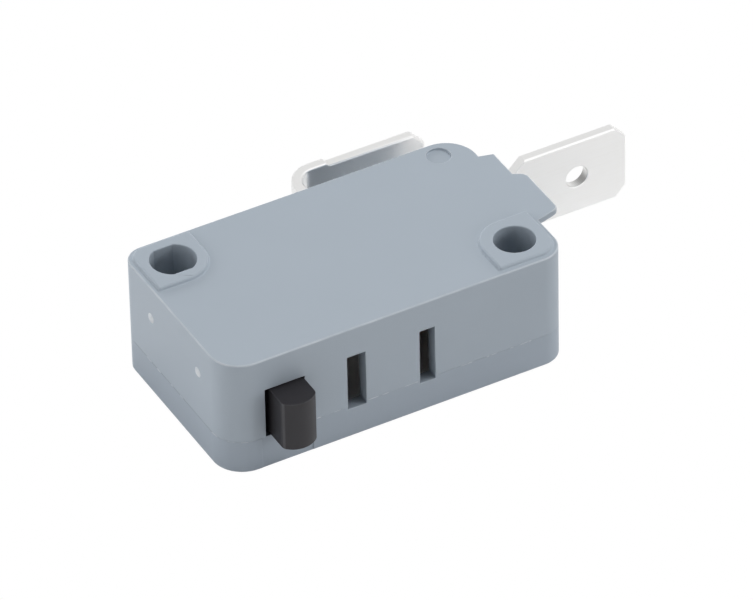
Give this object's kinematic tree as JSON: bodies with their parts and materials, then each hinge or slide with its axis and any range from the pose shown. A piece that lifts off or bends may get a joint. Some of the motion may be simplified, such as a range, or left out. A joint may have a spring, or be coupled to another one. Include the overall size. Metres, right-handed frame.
{
  "type": "micro switch",
  "caption": "Snap-action micro switch: flat grey body with diagonal mounting holes, a black push plunger on one edge and flat push-on tabs at the end and the back.",
  "frame": {"origin": "centre of the round mounting hole, level with the lower faces of the hole bosses", "axes": "+X along the body towards the end tab, +Y from the plunger face to the back, +Z through the thickness along the mounting holes"},
  "size_m": [0.0401, 0.0226, 0.0103],
  "materials": {
    "case_plastic": "fine satin moulding, blue grey",
    "cover_plastic": "fine satin moulding, blue grey",
    "plunger_plastic": "semi-gloss moulding, black",
    "tinned_brass": "bright tin plate on brass sheet",
    "contact_silver": "silver alloy rivet",
    "arm_copper": "copper alloy sheet",
    "lever_steel": "stainless sheet",
    "spring_steel": "drawn spring wire"
  },
  "bodies": {
    "housing": {"case": "case_plastic", "cover": "cover_plastic", "common_terminal": "tinned_brass", "open_terminal": "tinned_brass", "open_contact": "contact_silver"},
    "button": {"plunger": "plunger_plastic"},
    "lever": {"trip_lever": "lever_steel"},
    "arm": {"contact_arm": "arm_copper", "arm_contact": "contact_silver", "snap_spring": "spring_steel"}
  },
  "joints": [
    {"name": "plunger_slide", "type": "slide", "parent": "housing", "child": "button", "axis": [0, 1, 0], "range_m": [0, 0.0022], "stiffness_N_per_m": 900, "springref_m": -0.001},
    {"name": "lever_rock", "type": "hinge", "parent": "housing", "child": "lever", "pos_m": [-0.0135, 0.0085, 0.00515], "axis": [0, 0, -1], "range_deg": [0, 14.6]},
    {"name": "arm_rock", "type": "hinge", "parent": "housing", "child": "arm", "pos_m": [-0.017, 0.0065, 0.00515], "axis": [0, 0, 1], "range_deg": [0, 3.5], "deforming": ["snap_spring"]}
  ],
  "couplings": [
    {"joint": "lever_rock", "follows": "plunger_slide", "rad_per_m": 115.6},
    {"joint": "arm_rock", "follows": "plunger_slide", "rad_per_m": 27.75}
  ]
}
